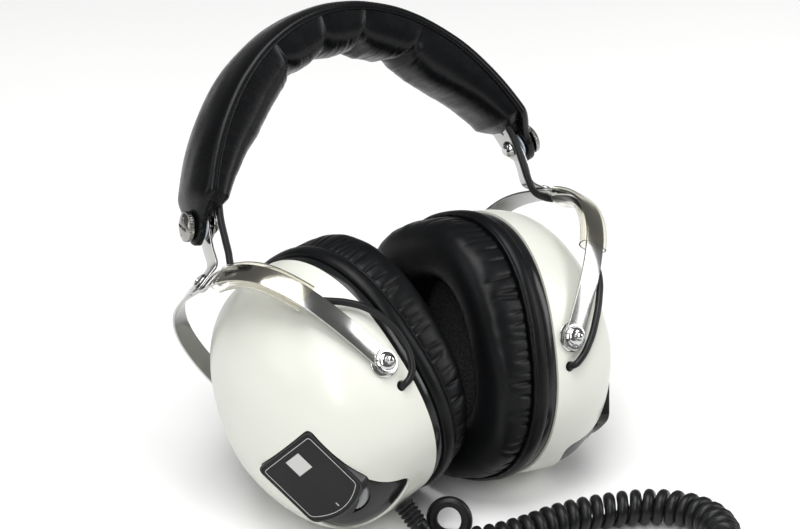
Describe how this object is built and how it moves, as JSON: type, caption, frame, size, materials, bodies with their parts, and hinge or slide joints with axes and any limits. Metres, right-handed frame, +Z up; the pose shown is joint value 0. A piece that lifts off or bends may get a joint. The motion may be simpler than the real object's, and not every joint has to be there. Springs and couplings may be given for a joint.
{
  "type": "over-ear stereo headphones",
  "caption": "Closed over-ear headphones: padded headband, chrome yokes, white oval cups with volume wheels, ring cushions and a curly cord, leaning back.",
  "frame": {"origin": "middle of the bounding box's bottom face, without the free cord", "axes": "+X towards the wearer's right cup, +Y towards the wearer's front, +Z up from the table; the headband leans 30 degrees back from +Z towards +Y"},
  "size_m": [0.1716, 0.2444, 0.1897],
  "materials": {
    "leatherette": "semi-matte black leatherette, fine grain",
    "cushion_leatherette": "soft black leatherette, gathered",
    "shell_plastic": "glossy off-white moulded plastic",
    "black_plastic": "black moulded plastic",
    "plate": "dark grey plate with a thin light border",
    "chrome": "bright chrome plating",
    "steel": "bare steel",
    "nylon": "bluish white nylon",
    "clear_pvc": "clear yellowed PVC",
    "cable_rubber": "black flexible jacket",
    "cone": "dark paper cone",
    "foam": "black open foam"
  },
  "bodies": {
    "left_cup": {"left_shell": "shell_plastic", "left_baffle": "black_plastic", "left_cushion_flange": "cushion_leatherette", "left_cushion": "cushion_leatherette", "left_driver_basket": "steel", "left_driver_magnet": "steel", "left_driver_cone": "cone", "left_foam_screen": "foam", "left_volume_housing": "black_plastic", "left_label_plate": "plate", "left_potentiometer": "steel", "left_rear_pivot_bush": "chrome", "left_rear_pivot_screw": "chrome", "left_front_pivot_bush": "chrome", "left_front_pivot_screw": "chrome", "strain_relief": "cable_rubber", "cord_lead": "cable_rubber", "cord_coil": "cable_rubber", "cord_tail": "cable_rubber", "plug_grip": "black_plastic", "plug_jack": "chrome"},
    "left_wheel": {"left_volume_wheel": "black_plastic"},
    "left_yoke": {"left_yoke": "chrome", "left_foot_rivet": "chrome", "left_cable_sleeve": "clear_pvc", "left_cable_lower": "cable_rubber"},
    "left_stem": {"left_stem": "chrome", "left_cable_upper": "cable_rubber"},
    "headband": {"headband_cover": "leatherette", "headband_pad": "leatherette", "headband_spring": "steel", "left_adjuster_screw": "chrome", "left_adjuster_washer": "nylon", "left_adjuster_nut": "chrome", "right_adjuster_screw": "chrome", "right_adjuster_washer": "nylon", "right_adjuster_nut": "chrome"},
    "right_stem": {"right_stem": "chrome", "right_cable_upper": "cable_rubber"},
    "right_yoke": {"right_yoke": "chrome", "right_foot_rivet": "chrome", "right_cable_sleeve": "clear_pvc", "right_cable_lower": "cable_rubber"},
    "right_cup": {"right_shell": "shell_plastic", "right_baffle": "black_plastic", "right_cushion_flange": "cushion_leatherette", "right_cushion": "cushion_leatherette", "right_driver_basket": "steel", "right_driver_magnet": "steel", "right_driver_cone": "cone", "right_foam_screen": "foam", "right_volume_housing": "black_plastic", "right_label_plate": "plate", "right_potentiometer": "steel", "right_rear_pivot_bush": "chrome", "right_rear_pivot_screw": "chrome", "right_front_pivot_bush": "chrome", "right_front_pivot_screw": "chrome"},
    "right_wheel": {"right_volume_wheel": "black_plastic"}
  },
  "joints": [
    {"name": "left_tilt", "type": "hinge", "parent": "left_cup", "child": "left_yoke", "pos_m": [-0.04204, -0.01757, 0.05403], "axis": [0.1462, -0.8006, 0.5811], "range_deg": [0, 14], "deforming": ["left_cable_lower"]},
    {"name": "left_yaw", "type": "hinge", "parent": "left_yoke", "child": "left_stem", "pos_m": [-0.07963, 0.00913, 0.10027], "axis": [-0.5757, 0.4088, 0.7081], "range_deg": [-5, 5], "deforming": ["left_cable_upper"]},
    {"name": "left_slide", "type": "slide", "parent": "left_stem", "child": "headband", "axis": [0.2079, 0.4891, 0.8471], "range_m": [0, 0.012]},
    {"name": "right_slide", "type": "slide", "parent": "headband", "child": "right_stem", "axis": [0.2079, -0.4891, -0.8471], "range_m": [0, 0.012]},
    {"name": "right_yaw", "type": "hinge", "parent": "right_stem", "child": "right_yoke", "pos_m": [0.07756, 0.00913, 0.10027], "axis": [0.5757, 0.4088, 0.7081], "range_deg": [-5, 5], "deforming": ["right_cable_upper"]},
    {"name": "right_tilt", "type": "hinge", "parent": "right_yoke", "child": "right_cup", "pos_m": [0.03996, -0.01757, 0.05403], "axis": [0.1644, -0.9062, 0.3895], "range_deg": [0, 8], "deforming": ["right_cable_lower"]},
    {"name": "left_volume", "type": "hinge", "parent": "left_cup", "child": "left_wheel", "pos_m": [-0.05327, -0.05378, 0.03207], "axis": [-0.8168, -0.542, -0.1974], "range_deg": [0, 270]},
    {"name": "right_volume", "type": "hinge", "parent": "right_cup", "child": "right_wheel", "pos_m": [0.0629, -0.04173, 0.02558], "axis": [0.9519, -0.1601, -0.2612], "range_deg": [0, 270]}
  ]
}
